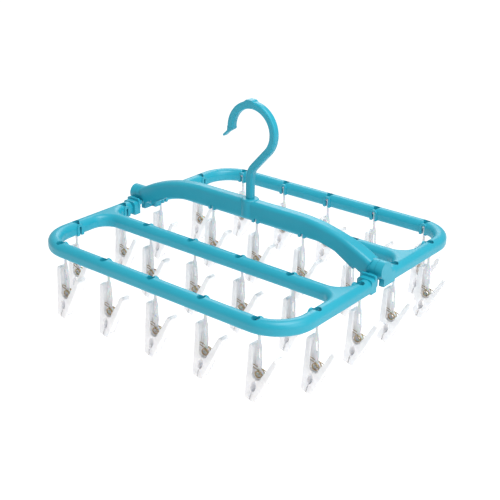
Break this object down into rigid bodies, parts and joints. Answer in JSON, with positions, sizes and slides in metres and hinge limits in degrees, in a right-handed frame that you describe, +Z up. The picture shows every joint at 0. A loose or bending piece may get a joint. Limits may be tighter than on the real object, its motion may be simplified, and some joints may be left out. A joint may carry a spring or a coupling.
{
  "type": "clip drying hanger",
  "caption": "Folding rectangular drying hanger: two half frames hinged on an arched cross beam under a swivel hook, with rows of sprung clothes pegs on hanging straps.",
  "frame": {"origin": "centre of the circle that the inside of the hook follows, where a rail sits", "axes": "+Z up, +X along the arch towards the side that the movable peg levers lean to, -Y towards the front half"},
  "size_m": [0.3996, 0.3548, 0.2609],
  "materials": {
    "frame_plastic": "satin moulded polypropylene",
    "peg_plastic": "milky translucent polypropylene",
    "strap_plastic": "milky translucent polypropylene",
    "spring_wire": "brass plated spring wire",
    "pin_steel": "plain"
  },
  "bodies": {
    "hook": {"hook": "frame_plastic", "hook_retainer": "pin_steel"},
    "arch": {"arch": "frame_plastic", "hinge_pin_left": "pin_steel", "hinge_pin_right": "pin_steel"},
    "front_half": {"front_frame": "frame_plastic"},
    "rear_half": {"rear_frame": "frame_plastic"},
    "front_outer_row": {"front_outer_straps": "strap_plastic", "front_outer_fixed_levers": "peg_plastic", "front_outer_springs": "spring_wire"},
    "front_outer_lever_1_body": {"front_outer_lever_1": "peg_plastic"},
    "front_outer_lever_2_body": {"front_outer_lever_2": "peg_plastic"},
    "front_outer_lever_3_body": {"front_outer_lever_3": "peg_plastic"},
    "front_outer_lever_4_body": {"front_outer_lever_4": "peg_plastic"},
    "front_outer_lever_5_body": {"front_outer_lever_5": "peg_plastic"},
    "front_inner_row": {"front_inner_straps": "strap_plastic", "front_inner_fixed_levers": "peg_plastic", "front_inner_springs": "spring_wire"},
    "front_inner_lever_1_body": {"front_inner_lever_1": "peg_plastic"},
    "front_inner_lever_2_body": {"front_inner_lever_2": "peg_plastic"},
    "front_inner_lever_3_body": {"front_inner_lever_3": "peg_plastic"},
    "front_inner_lever_4_body": {"front_inner_lever_4": "peg_plastic"},
    "front_side_outer_row": {"front_side_outer_straps": "strap_plastic", "front_side_outer_fixed_levers": "peg_plastic", "front_side_outer_springs": "spring_wire"},
    "front_side_outer_lever_1_body": {"front_side_outer_lever_1": "peg_plastic"},
    "front_side_outer_lever_2_body": {"front_side_outer_lever_2": "peg_plastic"},
    "front_side_inner_row": {"front_side_inner_straps": "strap_plastic", "front_side_inner_fixed_levers": "peg_plastic", "front_side_inner_springs": "spring_wire"},
    "front_side_inner_lever_1_body": {"front_side_inner_lever_1": "peg_plastic"},
    "front_side_inner_lever_2_body": {"front_side_inner_lever_2": "peg_plastic"},
    "rear_outer_row": {"rear_outer_straps": "strap_plastic", "rear_outer_fixed_levers": "peg_plastic", "rear_outer_springs": "spring_wire"},
    "rear_outer_lever_1_body": {"rear_outer_lever_1": "peg_plastic"},
    "rear_outer_lever_2_body": {"rear_outer_lever_2": "peg_plastic"},
    "rear_outer_lever_3_body": {"rear_outer_lever_3": "peg_plastic"},
    "rear_outer_lever_4_body": {"rear_outer_lever_4": "peg_plastic"},
    "rear_outer_lever_5_body": {"rear_outer_lever_5": "peg_plastic"},
    "rear_inner_row": {"rear_inner_straps": "strap_plastic", "rear_inner_fixed_levers": "peg_plastic", "rear_inner_springs": "spring_wire"},
    "rear_inner_lever_1_body": {"rear_inner_lever_1": "peg_plastic"},
    "rear_inner_lever_2_body": {"rear_inner_lever_2": "peg_plastic"},
    "rear_inner_lever_3_body": {"rear_inner_lever_3": "peg_plastic"},
    "rear_inner_lever_4_body": {"rear_inner_lever_4": "peg_plastic"},
    "rear_side_outer_row": {"rear_side_outer_straps": "strap_plastic", "rear_side_outer_fixed_levers": "peg_plastic", "rear_side_outer_springs": "spring_wire"},
    "rear_side_outer_lever_1_body": {"rear_side_outer_lever_1": "peg_plastic"},
    "rear_side_outer_lever_2_body": {"rear_side_outer_lever_2": "peg_plastic"},
    "rear_side_inner_row": {"rear_side_inner_straps": "strap_plastic", "rear_side_inner_fixed_levers": "peg_plastic", "rear_side_inner_springs": "spring_wire"},
    "rear_side_inner_lever_1_body": {"rear_side_inner_lever_1": "peg_plastic"},
    "rear_side_inner_lever_2_body": {"rear_side_inner_lever_2": "peg_plastic"}
  },
  "joints": [
    {"name": "arch_swivel", "type": "hinge", "parent": "hook", "child": "arch", "pos_m": [-0.0021, 0, -0.0822], "axis": [0, 0, 1], "continuous": true},
    {"name": "front_fold", "type": "hinge", "parent": "arch", "child": "front_half", "pos_m": [-0.0021, 0, -0.1189], "axis": [-1, 0, 0], "range_deg": [0, 90]},
    {"name": "rear_fold", "type": "hinge", "parent": "arch", "child": "rear_half", "pos_m": [-0.0021, 0, -0.1189], "axis": [1, 0, 0], "range_deg": [0, 90]},
    {"name": "front_outer_swing", "type": "hinge", "parent": "front_half", "child": "front_outer_row", "pos_m": [-0.0021, -0.1639, -0.1311], "axis": [1, 0, 0], "range_deg": [-15, 35]},
    {"name": "front_inner_swing", "type": "hinge", "parent": "front_half", "child": "front_inner_row", "pos_m": [-0.0021, -0.0587, -0.1311], "axis": [1, 0, 0], "range_deg": [-15, 30]},
    {"name": "front_side_outer_swing", "type": "hinge", "parent": "front_half", "child": "front_side_outer_row", "pos_m": [-0.0021, -0.1139, -0.1311], "axis": [1, 0, 0], "range_deg": [-15, 30]},
    {"name": "front_side_inner_swing", "type": "hinge", "parent": "front_half", "child": "front_side_inner_row", "pos_m": [-0.0021, -0.0347, -0.1311], "axis": [1, 0, 0], "range_deg": [-15, 15]},
    {"name": "rear_outer_swing", "type": "hinge", "parent": "rear_half", "child": "rear_outer_row", "pos_m": [-0.0021, 0.1639, -0.1311], "axis": [-1, 0, 0], "range_deg": [-15, 35]},
    {"name": "rear_inner_swing", "type": "hinge", "parent": "rear_half", "child": "rear_inner_row", "pos_m": [-0.0021, 0.0587, -0.1311], "axis": [-1, 0, 0], "range_deg": [-15, 30]},
    {"name": "rear_side_outer_swing", "type": "hinge", "parent": "rear_half", "child": "rear_side_outer_row", "pos_m": [-0.0021, 0.1139, -0.1311], "axis": [-1, 0, 0], "range_deg": [-15, 30]},
    {"name": "rear_side_inner_swing", "type": "hinge", "parent": "rear_half", "child": "rear_side_inner_row", "pos_m": [-0.0021, 0.0347, -0.1311], "axis": [-1, 0, 0], "range_deg": [-15, 15]},
    {"name": "front_outer_squeeze_1", "type": "hinge", "parent": "front_outer_row", "child": "front_outer_lever_1_body", "pos_m": [-0.1436, -0.1639, -0.1897], "axis": [0, -1, 0], "range_deg": [0, 25], "stiffness_Nm_per_rad": 0.05, "springref_deg": -22.92, "deforming": ["front_outer_springs"]},
    {"name": "front_outer_squeeze_2", "type": "hinge", "parent": "front_outer_row", "child": "front_outer_lever_2_body", "pos_m": [-0.0716, -0.1639, -0.1897], "axis": [0, -1, 0], "range_deg": [0, 25], "stiffness_Nm_per_rad": 0.05, "springref_deg": -22.92, "deforming": ["front_outer_springs"]},
    {"name": "front_outer_squeeze_3", "type": "hinge", "parent": "front_outer_row", "child": "front_outer_lever_3_body", "pos_m": [0.0004, -0.1639, -0.1897], "axis": [0, -1, 0], "range_deg": [0, 25], "stiffness_Nm_per_rad": 0.05, "springref_deg": -22.92, "deforming": ["front_outer_springs"]},
    {"name": "front_outer_squeeze_4", "type": "hinge", "parent": "front_outer_row", "child": "front_outer_lever_4_body", "pos_m": [0.0724, -0.1639, -0.1897], "axis": [0, -1, 0], "range_deg": [0, 25], "stiffness_Nm_per_rad": 0.05, "springref_deg": -22.92, "deforming": ["front_outer_springs"]},
    {"name": "front_outer_squeeze_5", "type": "hinge", "parent": "front_outer_row", "child": "front_outer_lever_5_body", "pos_m": [0.1444, -0.1639, -0.1897], "axis": [0, -1, 0], "range_deg": [0, 25], "stiffness_Nm_per_rad": 0.05, "springref_deg": -22.92, "deforming": ["front_outer_springs"]},
    {"name": "front_inner_squeeze_1", "type": "hinge", "parent": "front_inner_row", "child": "front_inner_lever_1_body", "pos_m": [-0.1076, -0.0587, -0.1897], "axis": [0, -1, 0], "range_deg": [0, 25], "stiffness_Nm_per_rad": 0.05, "springref_deg": -22.92, "deforming": ["front_inner_springs"]},
    {"name": "front_inner_squeeze_2", "type": "hinge", "parent": "front_inner_row", "child": "front_inner_lever_2_body", "pos_m": [-0.0356, -0.0587, -0.1897], "axis": [0, -1, 0], "range_deg": [0, 25], "stiffness_Nm_per_rad": 0.05, "springref_deg": -22.92, "deforming": ["front_inner_springs"]},
    {"name": "front_inner_squeeze_3", "type": "hinge", "parent": "front_inner_row", "child": "front_inner_lever_3_body", "pos_m": [0.0364, -0.0587, -0.1897], "axis": [0, -1, 0], "range_deg": [0, 25], "stiffness_Nm_per_rad": 0.05, "springref_deg": -22.92, "deforming": ["front_inner_springs"]},
    {"name": "front_inner_squeeze_4", "type": "hinge", "parent": "front_inner_row", "child": "front_inner_lever_4_body", "pos_m": [0.1084, -0.0587, -0.1897], "axis": [0, -1, 0], "range_deg": [0, 25], "stiffness_Nm_per_rad": 0.05, "springref_deg": -22.92, "deforming": ["front_inner_springs"]},
    {"name": "front_side_outer_squeeze_1", "type": "hinge", "parent": "front_side_outer_row", "child": "front_side_outer_lever_1_body", "pos_m": [-0.1791, -0.1139, -0.1897], "axis": [0, -1, 0], "range_deg": [0, 25], "stiffness_Nm_per_rad": 0.05, "springref_deg": -22.92, "deforming": ["front_side_outer_springs"]},
    {"name": "front_side_outer_squeeze_2", "type": "hinge", "parent": "front_side_outer_row", "child": "front_side_outer_lever_2_body", "pos_m": [0.1799, -0.1139, -0.1897], "axis": [0, -1, 0], "range_deg": [0, 25], "stiffness_Nm_per_rad": 0.05, "springref_deg": -22.92, "deforming": ["front_side_outer_springs"]},
    {"name": "front_side_inner_squeeze_1", "type": "hinge", "parent": "front_side_inner_row", "child": "front_side_inner_lever_1_body", "pos_m": [-0.1791, -0.0347, -0.1897], "axis": [0, -1, 0], "range_deg": [0, 25], "stiffness_Nm_per_rad": 0.05, "springref_deg": -22.92, "deforming": ["front_side_inner_springs"]},
    {"name": "front_side_inner_squeeze_2", "type": "hinge", "parent": "front_side_inner_row", "child": "front_side_inner_lever_2_body", "pos_m": [0.1799, -0.0347, -0.1897], "axis": [0, -1, 0], "range_deg": [0, 25], "stiffness_Nm_per_rad": 0.05, "springref_deg": -22.92, "deforming": ["front_side_inner_springs"]},
    {"name": "rear_outer_squeeze_1", "type": "hinge", "parent": "rear_outer_row", "child": "rear_outer_lever_1_body", "pos_m": [-0.1436, 0.1639, -0.1897], "axis": [0, -1, 0], "range_deg": [0, 25], "stiffness_Nm_per_rad": 0.05, "springref_deg": -22.92, "deforming": ["rear_outer_springs"]},
    {"name": "rear_outer_squeeze_2", "type": "hinge", "parent": "rear_outer_row", "child": "rear_outer_lever_2_body", "pos_m": [-0.0716, 0.1639, -0.1897], "axis": [0, -1, 0], "range_deg": [0, 25], "stiffness_Nm_per_rad": 0.05, "springref_deg": -22.92, "deforming": ["rear_outer_springs"]},
    {"name": "rear_outer_squeeze_3", "type": "hinge", "parent": "rear_outer_row", "child": "rear_outer_lever_3_body", "pos_m": [0.0004, 0.1639, -0.1897], "axis": [0, -1, 0], "range_deg": [0, 25], "stiffness_Nm_per_rad": 0.05, "springref_deg": -22.92, "deforming": ["rear_outer_springs"]},
    {"name": "rear_outer_squeeze_4", "type": "hinge", "parent": "rear_outer_row", "child": "rear_outer_lever_4_body", "pos_m": [0.0724, 0.1639, -0.1897], "axis": [0, -1, 0], "range_deg": [0, 25], "stiffness_Nm_per_rad": 0.05, "springref_deg": -22.92, "deforming": ["rear_outer_springs"]},
    {"name": "rear_outer_squeeze_5", "type": "hinge", "parent": "rear_outer_row", "child": "rear_outer_lever_5_body", "pos_m": [0.1444, 0.1639, -0.1897], "axis": [0, -1, 0], "range_deg": [0, 25], "stiffness_Nm_per_rad": 0.05, "springref_deg": -22.92, "deforming": ["rear_outer_springs"]},
    {"name": "rear_inner_squeeze_1", "type": "hinge", "parent": "rear_inner_row", "child": "rear_inner_lever_1_body", "pos_m": [-0.1076, 0.0587, -0.1897], "axis": [0, -1, 0], "range_deg": [0, 25], "stiffness_Nm_per_rad": 0.05, "springref_deg": -22.92, "deforming": ["rear_inner_springs"]},
    {"name": "rear_inner_squeeze_2", "type": "hinge", "parent": "rear_inner_row", "child": "rear_inner_lever_2_body", "pos_m": [-0.0356, 0.0587, -0.1897], "axis": [0, -1, 0], "range_deg": [0, 25], "stiffness_Nm_per_rad": 0.05, "springref_deg": -22.92, "deforming": ["rear_inner_springs"]},
    {"name": "rear_inner_squeeze_3", "type": "hinge", "parent": "rear_inner_row", "child": "rear_inner_lever_3_body", "pos_m": [0.0364, 0.0587, -0.1897], "axis": [0, -1, 0], "range_deg": [0, 25], "stiffness_Nm_per_rad": 0.05, "springref_deg": -22.92, "deforming": ["rear_inner_springs"]},
    {"name": "rear_inner_squeeze_4", "type": "hinge", "parent": "rear_inner_row", "child": "rear_inner_lever_4_body", "pos_m": [0.1084, 0.0587, -0.1897], "axis": [0, -1, 0], "range_deg": [0, 25], "stiffness_Nm_per_rad": 0.05, "springref_deg": -22.92, "deforming": ["rear_inner_springs"]},
    {"name": "rear_side_outer_squeeze_1", "type": "hinge", "parent": "rear_side_outer_row", "child": "rear_side_outer_lever_1_body", "pos_m": [-0.1791, 0.1139, -0.1897], "axis": [0, -1, 0], "range_deg": [0, 25], "stiffness_Nm_per_rad": 0.05, "springref_deg": -22.92, "deforming": ["rear_side_outer_springs"]},
    {"name": "rear_side_outer_squeeze_2", "type": "hinge", "parent": "rear_side_outer_row", "child": "rear_side_outer_lever_2_body", "pos_m": [0.1799, 0.1139, -0.1897], "axis": [0, -1, 0], "range_deg": [0, 25], "stiffness_Nm_per_rad": 0.05, "springref_deg": -22.92, "deforming": ["rear_side_outer_springs"]},
    {"name": "rear_side_inner_squeeze_1", "type": "hinge", "parent": "rear_side_inner_row", "child": "rear_side_inner_lever_1_body", "pos_m": [-0.1791, 0.0347, -0.1897], "axis": [0, -1, 0], "range_deg": [0, 25], "stiffness_Nm_per_rad": 0.05, "springref_deg": -22.92, "deforming": ["rear_side_inner_springs"]},
    {"name": "rear_side_inner_squeeze_2", "type": "hinge", "parent": "rear_side_inner_row", "child": "rear_side_inner_lever_2_body", "pos_m": [0.1799, 0.0347, -0.1897], "axis": [0, -1, 0], "range_deg": [0, 25], "stiffness_Nm_per_rad": 0.05, "springref_deg": -22.92, "deforming": ["rear_side_inner_springs"]}
  ]
}
